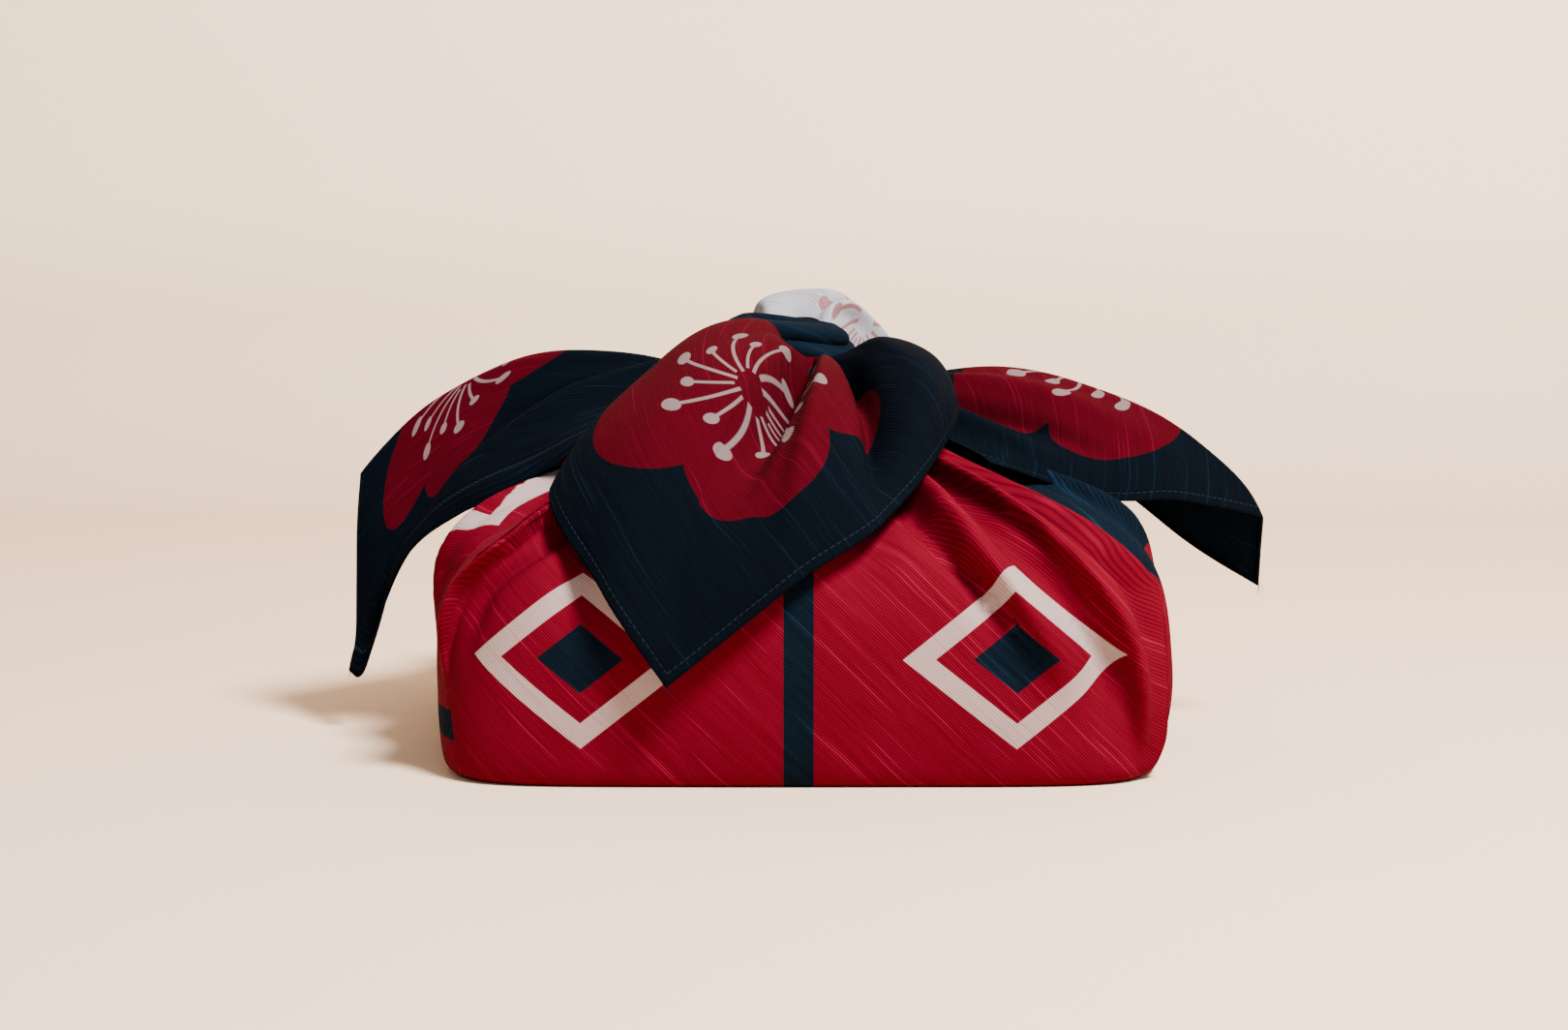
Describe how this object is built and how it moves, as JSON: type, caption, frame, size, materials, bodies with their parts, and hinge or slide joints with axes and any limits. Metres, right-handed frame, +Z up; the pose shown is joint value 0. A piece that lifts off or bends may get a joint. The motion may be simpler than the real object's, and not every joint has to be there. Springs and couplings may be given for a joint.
{
  "type": "furoshiki wrap",
  "caption": "Square cloth wrapped round a box-shaped bundle, its slopes gathered into a knot on top, with the tied corners hanging free; it carries or gift-wraps what is inside.",
  "frame": {"origin": "middle of the bundle's flat underside, on the surface it stands on", "axes": "+Z up, +X along the bundle's longer side to the right seen from the front, -Y towards the front, where the longest corner hangs"},
  "size_m": [0.3417, 0.2597, 0.1622],
  "materials": {
    "printed_cotton": "matt slub cotton, red and navy print with off-white motifs"
  },
  "bodies": {
    "root": {"wrap_cloth": "printed_cotton"}
  },
  "joints": []
}
